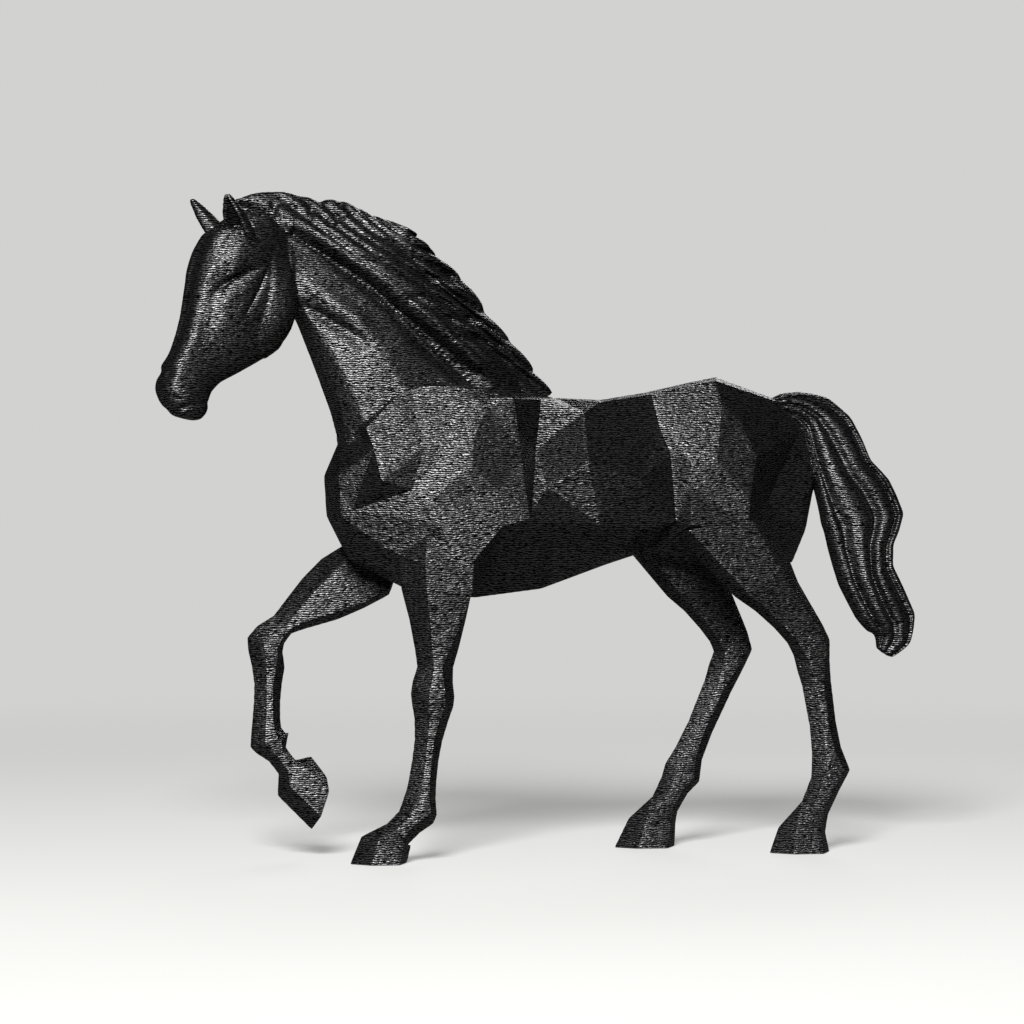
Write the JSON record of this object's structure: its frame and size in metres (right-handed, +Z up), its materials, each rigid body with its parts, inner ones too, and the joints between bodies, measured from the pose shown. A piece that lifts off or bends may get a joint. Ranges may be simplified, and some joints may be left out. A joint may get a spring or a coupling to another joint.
{
  "type": "horse sculpture",
  "caption": "Low-poly figure of a striding horse in matte black printed plastic, with carved mane and tail, standing on three hooves with one foreleg raised.",
  "frame": {"origin": "on the floor, under the middle of the bounding box", "axes": "-X the way the horse faces, +Z up, -Y towards the horse's left side"},
  "size_m": [0.1938, 0.0432, 0.1599],
  "materials": {
    "printed_plastic": "matte black printed in thin flat layers"
  },
  "bodies": {
    "root": {"horse": "printed_plastic"}
  },
  "joints": []
}
